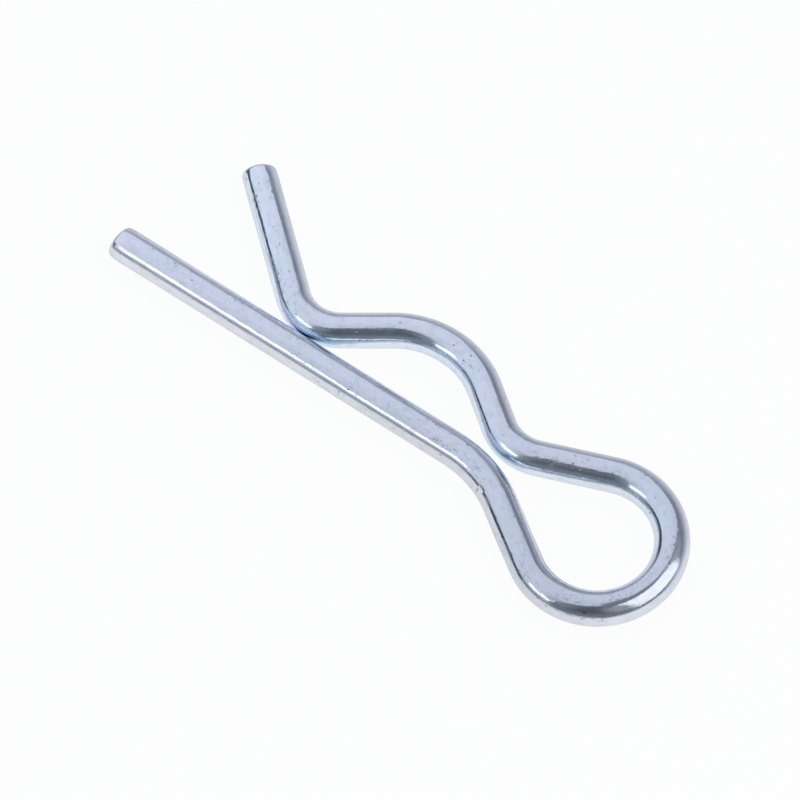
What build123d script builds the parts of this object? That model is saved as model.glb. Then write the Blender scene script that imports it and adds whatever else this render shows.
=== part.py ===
from build123d import *
import math
import os

# R clip for a hitch pin, bent from one length of round spring wire.
# It lies flat with the wire's centre line on z = 0.
# The origin is where the shaft that it locks crosses the axis of the straight leg.
# +X runs along the leg towards the pull loop, and +Y points to the sprung arm.
# Lengths are in millimetres and angles in degrees.

wire_diameter = 4.0
end_rounding = 0.4

# The shaft: the leg goes through its cross hole, and the seat of the arm lies over its outside
shaft_diameter = 16.0
crest_clearance = 0.25
seat_ease = 0.65

# The straight leg, then the heel that turns it into the loop
leg_reach = 37.9
heel_inner_radius = 12.4
heel_angle = 34.5
heel_run = 8.0

# The pull loop
loop_inner_diameter = 12.6
throat_run = 8.6

# The sprung arm: neck, seat, lip and flared tail
neck_inner_radius = 4.0
neck_gap = 0.8
rise_run = 4.9
fall_run = 5.7
lip_inner_radius = 3.6
lip_gap = 0.05
tail_angle = 41.0
tail_length = 16.5

LEFT, RIGHT = 1, -1
FLAT_TURN = 180.0

wire_radius = wire_diameter / 2
shaft_radius = shaft_diameter / 2
seat_inner_radius = shaft_radius + seat_ease

# Radii of the wire's centre line in each bend
heel_radius = heel_inner_radius + wire_radius
loop_radius = loop_inner_diameter / 2 + wire_radius
neck_radius = neck_inner_radius + wire_radius
seat_radius = seat_inner_radius + wire_radius
lip_radius = lip_inner_radius + wire_radius


class Bend:
    """A bend of the centre line: its centre, its radius, and the way that the wire turns in it."""

    def __init__(self, centre, radius, turn):
        self.centre = centre
        self.radius = radius
        self.turn = turn

    def touch(self, heading):
        """The point of the bend where the wire has this heading."""
        return self.centre - self.turn * self.radius * sideways(heading)


def forward(heading):
    return Vector(math.cos(math.radians(heading)), math.sin(math.radians(heading)))


def sideways(heading):
    """The direction to the left of a heading."""
    return Vector(-math.sin(math.radians(heading)), math.cos(math.radians(heading)))


def centre_distance(radius_a, radius_b, run):
    """How far apart two opposite bends are, centre to centre, with a straight run between them."""
    return math.hypot(radius_a + radius_b, run)


def beside(length, rise):
    """The level part of a sloping length that climbs by rise."""
    return math.sqrt(length**2 - rise**2)


def crossing(centre_a, distance_a, centre_b, distance_b):
    """The point at these two distances from two centres, to the left of the way from a to b."""
    span = centre_b - centre_a
    along = (span.length**2 + distance_a**2 - distance_b**2) / (2 * span.length)
    unit = span.normalized()
    return centre_a + unit * along + Vector(-unit.Y, unit.X) * beside(distance_a, along)


def heading_between(bend_a, bend_b):
    """The heading of the straight wire that leaves one bend and runs into the next."""
    span = bend_b.centre - bend_a.centre
    offset = bend_b.turn * bend_b.radius - bend_a.turn * bend_a.radius
    return math.degrees(math.atan2(span.Y, span.X) - math.asin(offset / span.length))


def clip_bends():
    """The five bends in order from the leg to the tail, with the seat's centre on x = 0."""
    heel = Vector(0, -heel_radius)
    loop = heel + sideways(-heel_angle) * (heel_radius + loop_radius) + forward(-heel_angle) * heel_run
    neck = crossing(
        heel,
        heel_radius + wire_diameter + neck_gap + neck_radius,
        loop,
        centre_distance(loop_radius, neck_radius, throat_run),
    )

    seat_y = shaft_radius + crest_clearance - seat_inner_radius
    seat_x = neck.X - beside(centre_distance(neck_radius, seat_radius, rise_run), neck.Y - seat_y)
    seat = Vector(seat_x, seat_y)

    lip_y = wire_diameter + lip_gap + lip_radius
    lip_x = seat.X - beside(centre_distance(seat_radius, lip_radius, fall_run), lip_y - seat.Y)
    lip = Vector(lip_x, lip_y)

    to_shaft = Vector(-seat.X, 0)
    return [
        Bend(heel + to_shaft, heel_radius, RIGHT),
        Bend(loop + to_shaft, loop_radius, LEFT),
        Bend(neck + to_shaft, neck_radius, RIGHT),
        Bend(seat + to_shaft, seat_radius, LEFT),
        Bend(lip + to_shaft, lip_radius, RIGHT),
    ]


def clip_path(bends):
    """The centre line from the leg's tip to the tail's end: straight runs joined by tangent arcs."""
    headings = [0.0]
    for bend, after in zip(bends, bends[1:]):
        headings.append(heading_between(bend, after))
    headings.append(FLAT_TURN - tail_angle)

    edges = []
    start = Vector(-leg_reach, 0)
    for bend, arriving, leaving in zip(bends, headings, headings[1:]):
        arc_start, arc_end = bend.touch(arriving), bend.touch(leaving)
        edges.append(Line(start, arc_start))
        edges.append(TangentArc(arc_start, arc_end, tangent=forward(arriving)))
        start = arc_end
    edges.append(Line(start, start + forward(headings[-1]) * tail_length))
    return Wire(edges)


def clip_wire():
    """The bent wire with its two cut ends rounded."""
    path = clip_path(clip_bends())
    section = Plane(origin=path @ 0, z_dir=path % 0) * Circle(wire_radius)
    wire = sweep(section, path=path)
    cut_ends = wire.faces().filter_by(GeomType.PLANE)
    return fillet(cut_ends.edges(), end_rounding)


def main():
    os.makedirs("parts", exist_ok=True)
    export_step(clip_wire(), "parts/clip_wire.step")


main()
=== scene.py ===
import math

import bmesh
import bpy
import numpy as np
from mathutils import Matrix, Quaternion, Vector


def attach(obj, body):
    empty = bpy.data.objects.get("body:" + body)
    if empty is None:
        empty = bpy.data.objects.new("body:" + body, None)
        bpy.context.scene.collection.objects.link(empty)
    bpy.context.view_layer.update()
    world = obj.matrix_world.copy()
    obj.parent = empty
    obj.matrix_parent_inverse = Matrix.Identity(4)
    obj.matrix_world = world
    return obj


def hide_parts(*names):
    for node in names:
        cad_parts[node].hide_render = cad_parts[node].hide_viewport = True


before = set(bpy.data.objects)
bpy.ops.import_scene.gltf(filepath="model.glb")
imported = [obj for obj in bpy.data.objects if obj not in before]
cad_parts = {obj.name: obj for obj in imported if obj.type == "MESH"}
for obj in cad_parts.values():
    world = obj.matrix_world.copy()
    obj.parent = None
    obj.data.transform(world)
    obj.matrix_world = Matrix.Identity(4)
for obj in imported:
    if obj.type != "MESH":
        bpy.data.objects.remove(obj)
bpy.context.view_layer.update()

# The R clip as it looks: one bright zinc plated wire on a white table.
# The wire is drawn in millimetres, which become metres where they go into a mesh or a node.

MM = 0.001
UP = Vector((0, 0, 1))

# The mesh is a hair thinner than the 4 mm wire and stays within the solid's box.
WIRE_RADIUS = 1.994

# The wire's centre line from the leg's tip: runs as (length,), bends as (length, radius), left turns positive
LEG_TIP = (-37.9, 0.0)
STRETCHES = {
    "leg": (45.5207,),
    "heel": (8.6708, -14.4),
    "heel_run": (8.0,),
    "loop": (34.1382, 8.3),
    "throat": (8.6,),
    "neck": (6.0648, -6.0),
    "rise": (4.9,),
    "seat": (13.3314, 10.65),
    "fall": (5.7,),
    "lip": (7.4249, -5.6),
    "tail": (16.5,),
}
WIRE_LENGTH = sum(stretch[0] for stretch in STRETCHES.values())


def centre_line(distance):
    """The point and the heading of the wire's centre line at a distance from the leg's tip."""
    x, y = LEG_TIP
    heading = 0.0
    for length, *radius in STRETCHES.values():
        step = min(distance, length)
        if radius:
            turned = heading + step / radius[0]
            x += radius[0] * (math.sin(turned) - math.sin(heading))
            y -= radius[0] * (math.cos(turned) - math.cos(heading))
            heading = turned
        else:
            x += step * math.cos(heading)
            y += step * math.sin(heading)
        distance -= step
        if distance <= 0:
            break
    return x, y, heading


def direction(azimuth, elevation=0.0):
    """The unit vector towards an azimuth and an elevation in degrees."""
    azimuth, elevation = math.radians(azimuth), math.radians(elevation)
    level = math.cos(elevation)
    return Vector((math.cos(azimuth) * level, math.sin(azimuth) * level, math.sin(elevation)))


def new_object(name, data):
    thing = bpy.data.objects.new(name, data)
    bpy.context.scene.collection.objects.link(thing)
    return thing


# The camera as the photograph was taken: what it aims at, where it stands from there, and how wide it sees
AIM = Vector((-0.548, 1.639, 0.0)) * MM
CAMERA_SIDE = (305.0, 62.65)
CAMERA_DISTANCE = 1.1
PICTURE_WIDTH = 88.37 * MM
SENSOR_WIDTH = 36.0


def make_camera():
    side = direction(*CAMERA_SIDE)
    data = bpy.data.cameras.new("camera")
    data.sensor_width = SENSOR_WIDTH
    data.lens = SENSOR_WIDTH * CAMERA_DISTANCE / PICTURE_WIDTH
    data.clip_start = 0.01
    camera = new_object("camera", data)
    camera.location = AIM + side * CAMERA_DISTANCE
    camera.rotation_euler = (-side).to_track_quat("-Z", "Y").to_euler()
    bpy.context.scene.camera = camera


def make_lamp(name, place, faces, roll, width, height, radiance):
    """A soft box at a place (azimuth, elevation, distance) that faces a direction (azimuth, elevation)."""
    data = bpy.data.lights.new(name, "AREA")
    data.shape = "RECTANGLE"
    data.size, data.size_y = width, height
    data.energy = radiance * math.pi * width * height
    lamp = new_object(name, data)
    lamp.location = direction(*place[:2]) * place[2]
    turn = Quaternion((0, 0, 1), math.radians(roll))
    lamp.rotation_euler = (direction(*faces).to_track_quat("-Z", "Y") @ turn).to_euler()


def new_tree(owner):
    owner.use_nodes = True
    owner.node_tree.nodes.clear()
    return owner.node_tree


def add_node(tree, kind, inputs=None, **settings):
    """A node with its settings; an input is a value, or the socket that feeds it."""
    node = tree.nodes.new(kind)
    for name, value in settings.items():
        setattr(node, name, value)
    for name, value in (inputs or {}).items():
        if isinstance(value, bpy.types.NodeSocket):
            tree.links.new(value, node.inputs[name])
        else:
            node.inputs[name].default_value = value
    return node


def maths(tree, operation, one, other=0.0, third=0.0):
    return add_node(tree, "ShaderNodeMath", {0: one, 1: other, 2: third}, operation=operation).outputs[0]


def product(tree, first, *rest):
    for factor in rest:
        first = maths(tree, "MULTIPLY", first, factor)
    return first


def ramp(tree, value, low, high, to_low=0.0, to_high=1.0):
    """A smooth step from one value to another, as the input goes from low to high."""
    limits = {"Value": value, "From Min": low, "From Max": high, "To Min": to_low, "To Max": to_high}
    return add_node(tree, "ShaderNodeMapRange", limits, interpolation_type="SMOOTHSTEP").outputs[0]


def vector_maths(tree, operation, *vectors):
    """The outputs of a vector operation, which are Vector and Value."""
    return add_node(tree, "ShaderNodeVectorMath", dict(enumerate(vectors)), operation=operation).outputs


def along(tree, vector, axis):
    """How far a vector reaches along an axis."""
    return vector_maths(tree, "DOT_PRODUCT", vector, axis)["Value"]


def between(tree, one, other):
    """The distance between two points."""
    return vector_maths(tree, "DISTANCE", one, other)["Value"]


def mixed(tree, share, low, high, blend="MIX"):
    inputs = {0: share, 6: low, 7: high}
    return add_node(tree, "ShaderNodeMix", inputs, data_type="RGBA", blend_type=blend).outputs[2]


def make_world():
    world = bpy.data.worlds.new("white")
    bpy.context.scene.world = world
    tree = new_tree(world)
    background = add_node(tree, "ShaderNodeBackground", {"Color": (1, 1, 1, 1), "Strength": 1.0})
    add_node(tree, "ShaderNodeOutputWorld", {"Surface": background.outputs[0]})


TENT_RADIUS = 9.0


def tent_colour(tree):
    """The tent as the table sees it: pale silk overhead and to the left, and the room where it is open."""
    place = add_node(tree, "ShaderNodeTexCoord").outputs["Object"]
    view = vector_maths(tree, "NORMALIZE", place)["Vector"]
    height = along(tree, view, UP)

    def facing(towards, low, high):
        """A smooth step in the cosine of the angle to a direction."""
        return ramp(tree, along(tree, view, towards), low, high)

    # The room is darkest behind the camera, and greyer to the right of it and on the far side.
    room = (0.22, 0.24, 0.275, 1)
    for towards, low, high, grey in (
        (direction(292, 50), 0.84, 0.995, (0.12, 0.13, 0.155, 1)),
        (direction(345, 45), 0.89, 0.995, (0.40, 0.43, 0.48, 1)),
        (direction(72), 0.0, 0.7, (0.25, 0.28, 0.345, 1)),
        (direction(110), 0.80, 0.97, (0.42, 0.445, 0.51, 1)),
    ):
        room = mixed(tree, facing(towards, low, high), room, grey)

    # It is paler just above the table's edge, and further up on the far side.
    low = maths(tree, "SUBTRACT", height, product(tree, facing(direction(78), 0.3, 1.0), 0.18))
    room = mixed(tree, ramp(tree, low, 0.16, -0.08), room, (0.465, 0.495, 0.565, 1))

    # There is a glow round the key lamp, and a pale spot low on the camera's side.
    glow = product(tree, facing(direction(16, 52), 0.77, 0.87), facing(direction(16, -38), -0.5, -0.1))
    room = mixed(tree, glow, room, (0.38, 0.41, 0.45, 1))
    room = mixed(tree, facing(direction(254, 13), 0.982, 0.997), room, (0.40, 0.43, 0.47, 1))

    # The silk ends overhead, at an edge that bends one way on the far side and another on the camera's.
    side = along(tree, view, direction(166))
    far_half = facing(direction(80), -0.05, 0.05)
    far_bow = ramp(tree, height, 0.91, 0.965, 0.055, 0.095)
    far_edge = maths(tree, "ADD", far_bow, ramp(tree, height, 0.98, 0.998, 0.0, -0.10))
    near_edge = ramp(tree, height, 0.84, 0.97, -0.03, -0.13)
    edge = maths(tree, "MULTIPLY_ADD", far_half, maths(tree, "SUBTRACT", far_edge, near_edge), near_edge)
    left = ramp(tree, maths(tree, "SUBTRACT", side, edge), -0.025, 0.025)

    # It hangs down lowest on the left, and is drawn up on the far side.
    reach = along(tree, view, direction(185) * 0.25 + UP)
    for towards, low, high, drawn_up in (
        (direction(100), 0.72, 0.97, 0.13),
        (direction(86, 36), 0.951, 0.9945, 0.19),
    ):
        reach = maths(tree, "SUBTRACT", reach, product(tree, facing(towards, low, high), drawn_up))
    above = ramp(tree, reach, 0.30, 0.42)
    silk = mixed(tree, facing(direction(165, 30), 0.5, 0.9), (0.75, 0.795, 0.916, 1), (0.82, 0.87, 0.99, 1))

    # On the camera's side its edge is soft: the room is paler beside it, and the silk a little darker.
    near_half = maths(tree, "SUBTRACT", 1.0, far_half)
    margin = product(tree, near_half, ramp(tree, height, 0.42, 0.56), ramp(tree, height, 0.92, 0.84))
    room = mixed(tree, product(tree, margin, ramp(tree, side, -0.40, -0.12)), room, (0.27, 0.285, 0.315, 1))
    silk = mixed(tree, product(tree, margin, ramp(tree, side, 0.14, 0.04)), silk, (0.62, 0.66, 0.75, 1))
    colour = mixed(tree, product(tree, left, above), room, silk)

    # There is a dark gap under it on the left.
    gap = product(tree, facing(direction(195), 0.68, 0.93), ramp(tree, height, 0.33, 0.24))
    return mixed(tree, gap, colour, (0.07, 0.08, 0.10, 1))


def make_tent():
    """The light tent round the table. The camera looks through it, and it casts no shadow."""
    mesh = bpy.data.meshes.new("tent")
    ball = bmesh.new()
    bmesh.ops.create_icosphere(ball, subdivisions=5, radius=TENT_RADIUS)
    ball.to_mesh(mesh)
    ball.free()
    tent = new_object("tent", mesh)
    tent.visible_camera = False
    tent.visible_shadow = False

    material = bpy.data.materials.new("tent_light")
    tree = new_tree(material)
    light = add_node(tree, "ShaderNodeEmission", {"Color": tent_colour(tree), "Strength": 1.0})
    add_node(tree, "ShaderNodeOutputMaterial", {"Surface": light.outputs[0]})
    material.cycles.emission_sampling = "NONE"
    mesh.materials.append(material)


# The table: half its width in metres, its height in millimetres, its paper, and its share of plain light
TABLE_HALF = 6.0
TABLE_HEIGHT = -2.0
PAPER = (0.95, 0.95, 0.95, 1)
PLAIN_SHARE = 0.95

# Painted shade, for mirrored rays only: the table greyer beyond the clip and before it, as (y where that
# starts, y where it is full, colour), and painted shadows in the loop and at the leg's tip, as (x, y, reach
# in x, reach in y, colour). The places and reaches are in millimetres.
TABLE_PAINTED_SHADE_BANDS = (
    (-8, 38, (0.58, 0.61, 0.665, 1)),
    (-14, -34, (0.85, 0.86, 0.88, 1)),
)
TABLE_PAINTED_SHADOWS = (
    (23.0, -5.0, 7.0, 3.2, (0.42, 0.46, 0.53, 1)),
    (-40.0, 3.5, 11.0, 6.5, (0.66, 0.68, 0.73, 1)),
)


def table_tone(tree, mirrored):
    """The table's plain light: white, with painted shade and shadows in places for mirrored rays."""
    place = add_node(tree, "ShaderNodeTexCoord").outputs["Object"]
    y_place = along(tree, place, (0, 1, 0))
    tone = (1, 1, 1, 1)
    for start, end, grey in TABLE_PAINTED_SHADE_BANDS:
        tone = mixed(tree, product(tree, mirrored, ramp(tree, y_place, start * MM, end * MM)), tone, grey)
    for x, y, reach_x, reach_y, grey in TABLE_PAINTED_SHADOWS:
        scaled = vector_maths(tree, "MULTIPLY", place, (1 / (reach_x * MM), 1 / (reach_y * MM), 0))["Vector"]
        gap = between(tree, scaled, (x / reach_x, y / reach_y, 0))
        tone = mixed(tree, product(tree, mirrored, ramp(tree, gap, 1.2, 0.4)), tone, grey)
    return tone


def make_table():
    """For the camera and the metal it is mostly plain light. The rest is paper, which keeps the shadow."""
    mesh = bpy.data.meshes.new("table")
    half, height = TABLE_HALF, TABLE_HEIGHT * MM
    corners = [(-half, -half, height), (half, -half, height), (half, half, height), (-half, half, height)]
    mesh.from_pydata(corners, [], [(0, 1, 2, 3)])
    floor = new_object("table", mesh)

    material = bpy.data.materials.new("white_table")
    tree = new_tree(material)
    path = add_node(tree, "ShaderNodeLightPath").outputs
    mirrored = maths(tree, "MAXIMUM", path["Is Glossy Ray"], path["Is Transmission Ray"])
    share = product(tree, maths(tree, "MAXIMUM", path["Is Camera Ray"], mirrored), PLAIN_SHARE)
    paper = add_node(tree, "ShaderNodeBsdfDiffuse", {"Color": PAPER})
    plain = add_node(tree, "ShaderNodeEmission", {"Color": table_tone(tree, mirrored), "Strength": 1.0})
    mix = add_node(tree, "ShaderNodeMixShader", {0: share, 1: paper.outputs[0], 2: plain.outputs[0]})
    add_node(tree, "ShaderNodeOutputMaterial", {"Surface": mix.outputs[0]})
    mesh.materials.append(material)


# Spots on the wire: (distance along it, angle round it, reach along it, reach round it), where 90 degrees is
# up and 180 is the side that is on the right on the way from the leg's tip to the tail's
WORN_SPOTS = (
    (29.5, 166, 3.2, 0.5),
    (37.5, 110, 3.0, 0.7),
    (44.0, 118, 7.0, 0.7),
    (50.5, 108, 4.5, 0.9),
    (64.5, 124, 3.6, 0.8),
    (69.0, 95, 2.4, 0.8),
    (75.0, 82, 2.4, 0.8),
    (83.0, 96, 3.2, 0.8),
    (100.0, 92, 3.0, 0.7),
    (118.5, 80, 2.6, 0.9),
    (131.0, 67, 1.2, 0.4),
    (149.5, 84, 3.4, 0.8),
)
# The first two, at the ends, are painted dark reflections; the last two, at the tool mark, painted shade.
# The rest are specks.
DARK_SPECKS_AND_PAINTED_SHADE = (
    (0.55, 129, 0.30, 0.30),
    (158.3, 43, 0.35, 0.30),
    (71.0, 133, 0.22, 0.18),
    (119.4, 92, 0.20, 0.15),
    (119.5, 64, 0.20, 0.15),
    (121.7, 79, 0.16, 0.14),
    (7.65, 75, 0.17, 0.13),
    (10.45, 95, 0.17, 0.13),
    (51.85, 157, 0.13, 0.65),
    (52.85, 138, 0.11, 0.38),
)
# Painted reflection: a blue tint round the outside of the two tight bends
PAINTED_BEND_REFLECTIONS = (
    (108.3, 8, 3.2, 1.2),
    (136.4, 12, 3.2, 1.2),
)


def make_zinc():
    """Bright zinc over drawn wire. Its patterns lie in the straight wire's space and so follow the bends."""
    material = bpy.data.materials.new("zinc_plated_wire")
    tree = new_tree(material)
    straight = add_node(tree, "ShaderNodeAttribute", attribute_name="straight").outputs["Vector"]
    place = add_node(tree, "ShaderNodeTexCoord").outputs["Object"]

    def stretched(scale, shift=(0, 0, 0)):
        """The straight wire's space in so many waves per millimetre, with z along the wire."""
        inputs = {"Vector": straight, "Location": shift, "Scale": [x / MM for x in scale]}
        return add_node(tree, "ShaderNodeMapping", inputs).outputs[0]

    def noisy(scale, shift=(0, 0, 0), detail=2.0, roughness=0.5):
        inputs = {"Vector": stretched(scale, shift), "Scale": 1.0, "Detail": detail, "Roughness": roughness}
        return add_node(tree, "ShaderNodeTexNoise", inputs).outputs["Fac"]

    def near_spots(spots):
        """1 in the middle of any of the spots, and 0 from their edges on."""
        nearest = None
        for distance, angle, length, width in spots:
            turn = math.radians(angle)
            x, y = WIRE_RADIUS * math.cos(turn) / width, WIRE_RADIUS * math.sin(turn) / width
            scaled = stretched((1 / width, 1 / width, 1 / length))
            gap = between(tree, scaled, (x, y, distance / length))
            nearest = gap if nearest is None else maths(tree, "MINIMUM", nearest, gap)
        return ramp(tree, nearest, 1.0, 0.3)

    # Clouds of bluer and pinker plating, a few millimetres wide, and finer mottling
    clouds = noisy((0.42, 0.42, 0.26), detail=3.0)
    colour = mixed(tree, ramp(tree, clouds, 0.36, 0.64), (0.696, 0.749, 0.815, 1), (0.738, 0.746, 0.818, 1))
    mottle = noisy((1.5, 1.5, 0.9), (7, 3, 1), 4.0, 0.6)
    colour = mixed(tree, ramp(tree, mottle, 0.42, 0.74, 0.0, 0.38), colour, (0.50, 0.53, 0.595, 1))

    # The colour is darker towards the loop and paler towards the arm.
    shade = maths(tree, "ADD", along(tree, place, (-1.8, 4.5, 0.0)), 0.97)
    colour = mixed(tree, 1.0, colour, shade, "MULTIPLY")

    # Painted reflection: from the loop on it is bluer on the wire's left side, and a little paler further
    # down that side. It is also painted paler on the outside of the loop, and bluest round the outside of the
    # two tight bends.
    distance, left = along(tree, straight, (0, 0, 1)), along(tree, straight, (1, 0, 0))
    arm_painted_reflection = product(tree, ramp(tree, distance, 72 * MM, 90 * MM), ramp(tree, left, 0.6 * MM, 1.7 * MM))
    flank_painted_reflection = product(tree, arm_painted_reflection, ramp(tree, left, 1.4 * MM, 1.8 * MM))
    on_loop = product(tree, ramp(tree, distance, 62 * MM, 74 * MM), ramp(tree, distance, 92 * MM, 86 * MM))
    loop_outside_painted_reflection = product(tree, on_loop, ramp(tree, left, -1.4 * MM, -1.8 * MM))
    for share, tint in (
        (arm_painted_reflection, (0.98, 1.07, 1.11, 1)),
        (flank_painted_reflection, (1.11, 1.08, 1.06, 1)),
        (loop_outside_painted_reflection, (1.16, 1.15, 1.19, 1)),
        (near_spots(PAINTED_BEND_REFLECTIONS), (0.90, 0.98, 1.03, 1)),
    ):
        colour = mixed(tree, share, colour, tint, "MULTIPLY")

    # Small pits in some cells only, drawn out along the wire, dark as specks and with painted shade in them
    cells = add_node(tree, "ShaderNodeTexVoronoi", {"Vector": stretched((1.7, 1.7, 1.1)), "Scale": 1.0})
    chosen = add_node(tree, "ShaderNodeSeparateColor", {0: cells.outputs["Color"]}).outputs[0]
    deep = maths(tree, "SUBTRACT", ramp(tree, chosen, 0.62, 1.0, -0.02, 0.26), cells.outputs["Distance"])
    pits = ramp(tree, deep, 0.0, 0.20)
    colour = mixed(tree, product(tree, pits, 0.48), colour, (0.24, 0.26, 0.31, 1))

    # Fine scuffs in patches, thicker in the worn spots, dark specks, and painted shade at the ends and the
    # tool mark
    rubbed = ramp(tree, noisy((0.45, 0.45, 0.16), (2, 9, 4), 1.0), 0.48, 0.64)
    scratch = ramp(tree, noisy((3.0, 3.0, 1.6), (5, 5, 5), 4.0, 0.65), 0.52, 0.66)
    worn = maths(tree, "MAXIMUM", product(tree, rubbed, 0.6), near_spots(WORN_SPOTS))
    scuffs = product(tree, scratch, worn)
    colour = mixed(tree, product(tree, scuffs, 0.68), colour, (0.27, 0.29, 0.35, 1))
    colour = mixed(tree, product(tree, near_spots(DARK_SPECKS_AND_PAINTED_SHADE), 0.8), colour, (0.12, 0.13, 0.17, 1))

    # The lines that the drawing die left along the wire
    drawn = noisy((5.0, 5.0, 0.05))
    lines = noisy((1.4, 1.4, 0.10), (3, 1, 8), 2.0)
    colour = mixed(tree, ramp(tree, drawn, 0.52, 0.75, 0.0, 0.18), colour, (0.53, 0.56, 0.63, 1))

    # The gloss is uneven, and duller in the pits and the scuffs.
    haze = ramp(tree, noisy((0.9, 0.9, 0.45), (4, 8, 2), 3.0, 0.6), 0.48, 0.72, 0.10, 0.24)
    roughness = maths(tree, "ADD", haze, ramp(tree, drawn, 0.45, 0.7, 0.0, 0.05))
    roughness = maths(tree, "MULTIPLY_ADD", maths(tree, "MAXIMUM", pits, scuffs), 0.12, roughness)

    # Heights in millimetres
    relief = product(tree, drawn, 0.0012)
    for pattern, rise in ((mottle, 0.016), (lines, 0.010), (pits, -0.024), (scuffs, -0.006)):
        relief = maths(tree, "MULTIPLY_ADD", pattern, rise, relief)
    bump = add_node(tree, "ShaderNodeBump", {"Height": relief, "Strength": 1.0, "Distance": MM})
    shader = add_node(
        tree,
        "ShaderNodeBsdfPrincipled",
        {
            "Base Color": colour,
            "Metallic": 1.0,
            "Specular Tint": (0.88, 0.89, 0.91, 1),
            "Roughness": roughness,
            "Normal": bump.outputs[0],
        },
    )
    add_node(tree, "ShaderNodeOutputMaterial", {"Surface": shader.outputs[0]})
    return material


# The mesh: vertices round the wire, and the spacing of its rings, which is finer near the tool mark
AROUND = 76
RING_SPACING = 0.14
FINE_SPACING = 0.05
FINE_REACH = 1.5

# The cut ends: the radius of a face's inmost ring, the rings on the face and on its edge, and the rounding
FACE_START = 0.05
FACE_RINGS = 14
EDGE_RINGS = 8
END_ROUNDING = 0.45

# The slope of each slanted cut, and how far along the wire the slant fades
LEG_SLANT = 0.10
TAIL_SLANT = 0.05
SLANT_REACH = 3

# How each end was rolled over as it was cropped: (depth, reach along the wire, angle round it)
LEG_ROLL = (0.26, 1.8, 135)
TAIL_ROLL = (0.16, 1.5, 100)

# The mark of the bending tool on the heel: a nick across the wire, and a shallow facet beside it, which reach
# along the wire and, in radians, round it as (from, to, soft edge)
TOOL_MARK = 51.8
NICK_DEPTH = 0.07
NICK_LENGTH = 0.12
NICK_ROUND = (math.radians(162) - 0.30, math.radians(162) + 0.4, 0.25)
FACET_DEPTH = 0.10
FACET_ALONG = (TOOL_MARK + 0.25, TOOL_MARK + 0.75, 0.3)
FACET_ROUND = (math.radians(151), math.radians(151), 0.45)


def ring_profile():
    """(distance along the wire, radius) of every ring, from the middle of one cut face to the other's."""
    face = [(0.0, radius) for radius in np.linspace(FACE_START, WIRE_RADIUS - END_ROUNDING, FACE_RINGS)]
    edge = [
        (END_ROUNDING * (1 - math.cos(turn)), WIRE_RADIUS - END_ROUNDING * (1 - math.sin(turn)))
        for turn in np.radians(np.linspace(0, 90, EDGE_RINGS))[1:]
    ]
    end = face + edge
    rings = round((WIRE_LENGTH - 2 * END_ROUNDING) / RING_SPACING)
    wall = np.linspace(END_ROUNDING, WIRE_LENGTH - END_ROUNDING, rings + 1)[1:-1]
    coarse = [s for s in wall if abs(s - TOOL_MARK) > FINE_REACH]
    fine = np.arange(TOOL_MARK - FINE_REACH, TOOL_MARK + FINE_REACH, FINE_SPACING)
    wall = [(s, WIRE_RADIUS) for s in sorted([*coarse, *fine])]
    return end + wall + [(WIRE_LENGTH - s, radius) for s, radius in reversed(end)]


def window(value, low, high, soft):
    """1 between low and high, and 0 beyond a soft edge on each side."""
    rise = np.clip((value - low) / soft + 1, 0, 1)
    fall = np.clip((high - value) / soft + 1, 0, 1)
    return rise * rise * (3 - 2 * rise) * fall * fall * (3 - 2 * fall)


def near_end(distance, reach):
    """1 at an end of the wire, and 0 from the reach on."""
    return max(0.0, 1 - distance / reach) ** 2


def hollow(s, angles):
    """How far the surface lies below the round wire: at the tool mark, and at the rolled ends."""
    nick = NICK_DEPTH * math.exp(-(((s - TOOL_MARK) / NICK_LENGTH) ** 2)) * window(angles, *NICK_ROUND)
    facet = FACET_DEPTH * window(s, *FACET_ALONG) * window(angles, *FACET_ROUND)
    depths = nick + facet
    for distance, (depth, reach, middle) in ((s, LEG_ROLL), (WIRE_LENGTH - s, TAIL_ROLL)):
        share = 0.5 + 0.5 * np.cos(angles - math.radians(middle))
        depths = depths + depth * near_end(distance, reach) * share
    return depths


# The flat layout for a texture, in shares of its width: the wall in strips, and a disc for each end
STRIPS = 3
STRIP_STEP = 0.26
STRIP_SPAN = 0.98
MARGIN = 0.01
LEG_DISC = (0.06, 0.86)
TAIL_DISC = (0.17, 0.86)


def lay_out(mesh, profile):
    last = len(profile) - 1
    wall_from = FACE_RINGS + EDGE_RINGS - 2
    wall_to = last - wall_from
    strip_length = (profile[wall_to][0] - profile[wall_from][0]) / STRIPS
    unit = STRIP_SPAN / (strip_length + RING_SPACING)
    reach = [0.0]
    for (s, radius), (next_s, next_radius) in zip(profile, profile[1:]):
        reach.append(reach[-1] + math.hypot(next_s - s, next_radius - radius))

    def on_disc(centre, ring, step):
        arc = profile[0][1] + (reach[ring] if ring <= wall_from else reach[-1] - reach[ring])
        turn = step * 2 * math.pi / AROUND
        return centre[0] + unit * arc * math.cos(turn), centre[1] + unit * arc * math.sin(turn)

    def on_strip(strip, ring, step):
        start = profile[wall_from][0] + strip * strip_length
        u = MARGIN + unit * (profile[ring][0] - start)
        return u, MARGIN + STRIP_STEP * strip + unit * 2 * math.pi * WIRE_RADIUS * step / AROUND

    places = []
    for i in range(last):
        strip = min(STRIPS - 1, int((profile[i][0] - profile[wall_from][0]) / strip_length))
        for j in range(AROUND):
            corners = ((i, j), (i + 1, j), (i + 1, j + 1), (i, j + 1))
            if i < wall_from:
                places += [on_disc(LEG_DISC, *corner) for corner in corners]
            elif i >= wall_to:
                places += [on_disc(TAIL_DISC, *corner) for corner in corners]
            else:
                places += [on_strip(strip, *corner) for corner in corners]
    places += [on_disc(LEG_DISC, 0, j) for j in range(AROUND)]
    places += [on_disc(TAIL_DISC, last, j) for j in reversed(range(AROUND))]
    layer = mesh.uv_layers.new(name="OFBake")
    layer.data.foreach_set("uv", np.array(places).ravel())


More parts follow.
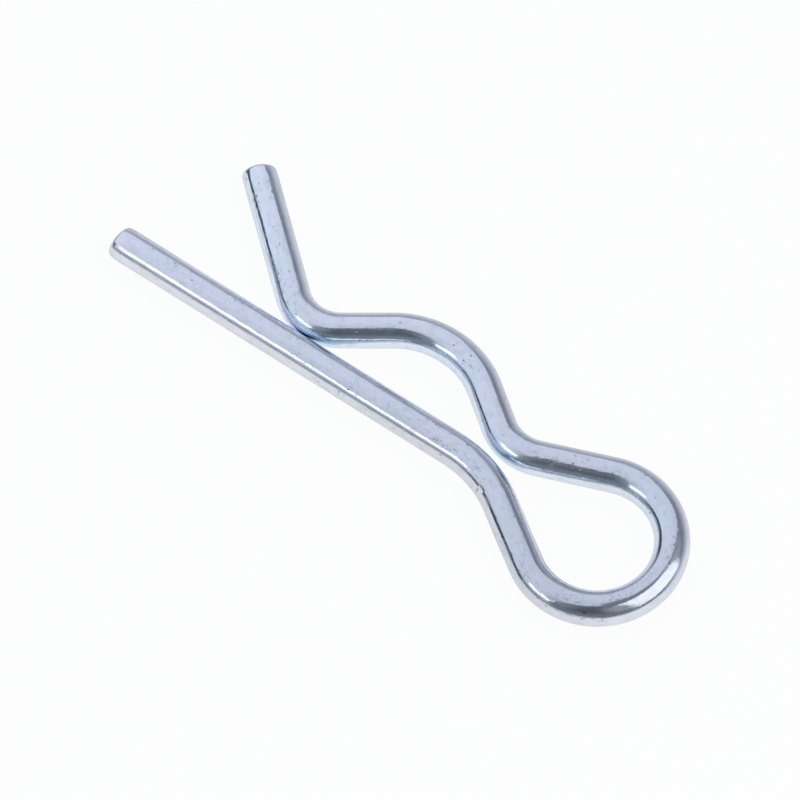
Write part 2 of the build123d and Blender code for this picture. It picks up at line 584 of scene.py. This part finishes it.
def wire_points(profile):
    """Every ring's points on the bent wire, and where they lie on the straight one, in millimetres."""
    angles = (np.arange(AROUND) + 0.5) * 2 * math.pi / AROUND - math.pi / 2
    across, upward = np.cos(angles), np.sin(angles)
    points, straight = [], []
    for s, radius in profile:
        x, y, heading = centre_line(s)
        forward = np.array((math.cos(heading), math.sin(heading), 0.0))
        left = np.array((-math.sin(heading), math.cos(heading), 0.0))
        outward = across[:, None] * left + upward[:, None] * (0.0, 0.0, 1.0)
        reach = radius - hollow(s, angles) * radius / WIRE_RADIUS
        at_leg, at_tail = near_end(s, SLANT_REACH), near_end(WIRE_LENGTH - s, SLANT_REACH)
        slant = LEG_SLANT * at_leg * (WIRE_RADIUS + radius * across)
        slant = slant - TAIL_SLANT * at_tail * (WIRE_RADIUS - radius * across)
        points.append(np.array((x, y, 0.0)) + reach[:, None] * outward + slant[:, None] * forward)
        straight.append(np.stack([radius * across, radius * upward, np.full(AROUND, s)], 1))
    return np.concatenate(points), np.concatenate(straight)


def make_wire():
    profile = ring_profile()
    points, straight = wire_points(profile)
    last = len(profile) - 1
    faces = []
    for i in range(last):
        here, there = i * AROUND, (i + 1) * AROUND
        for j in range(AROUND):
            k = (j + 1) % AROUND
            faces.append((here + j, there + j, there + k, here + k))
    faces.append(tuple(range(AROUND)))
    faces.append(tuple(last * AROUND + j for j in reversed(range(AROUND))))

    mesh = bpy.data.meshes.new("clip")
    mesh.from_pydata((points * MM).tolist(), [], faces)
    mesh.shade_smooth()
    layer = mesh.attributes.new("straight", "FLOAT_VECTOR", "POINT")
    layer.data.foreach_set("vector", (straight * MM).ravel())
    lay_out(mesh, profile)
    clip = new_object("clip", mesh)
    mesh.materials.append(make_zinc())
    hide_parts("clip_wire")
    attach(clip, "root")


make_camera()
make_world()
make_tent()
make_table()
make_lamp(
    "key", place=(14.8, 51.5, 0.8), faces=(199.0, -15.3), roll=-8.5, width=0.63, height=0.985, radiance=1.0
)
make_lamp("fill", place=(247, 30, 0.8), faces=(67, -30), roll=0, width=0.31, height=0.14, radiance=1.42)
make_wire()
bpy.context.scene.view_settings.view_transform = "Standard"
